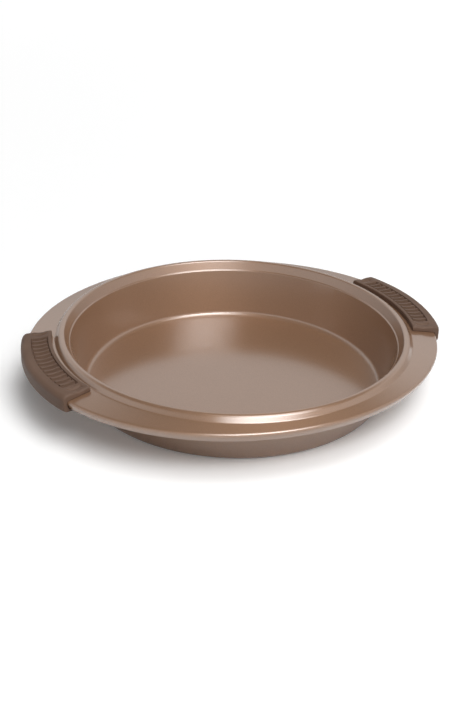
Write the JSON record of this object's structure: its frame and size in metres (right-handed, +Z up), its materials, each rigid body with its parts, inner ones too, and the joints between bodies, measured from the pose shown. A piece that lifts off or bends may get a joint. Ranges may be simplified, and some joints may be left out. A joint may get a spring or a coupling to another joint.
{
  "type": "round cake pan",
  "caption": "Round steep-sided baking pan of coated sheet steel with an oval turned-down flange and soft ribbed grips on its ears, for cakes, pies and tarts.",
  "frame": {"origin": "centre of the base, on the plane the pan stands on", "axes": "+X along the two grips towards the right one, +Y across the pan, +Z up out of the opening"},
  "size_m": [0.2976, 0.2646, 0.0422],
  "materials": {
    "coated_steel": "satin bronze non-stick coating",
    "grip_rubber": "matte moulded silicone rubber"
  },
  "bodies": {
    "root": {"pan_body": "coated_steel", "right_grip": "grip_rubber", "left_grip": "grip_rubber"}
  },
  "joints": []
}
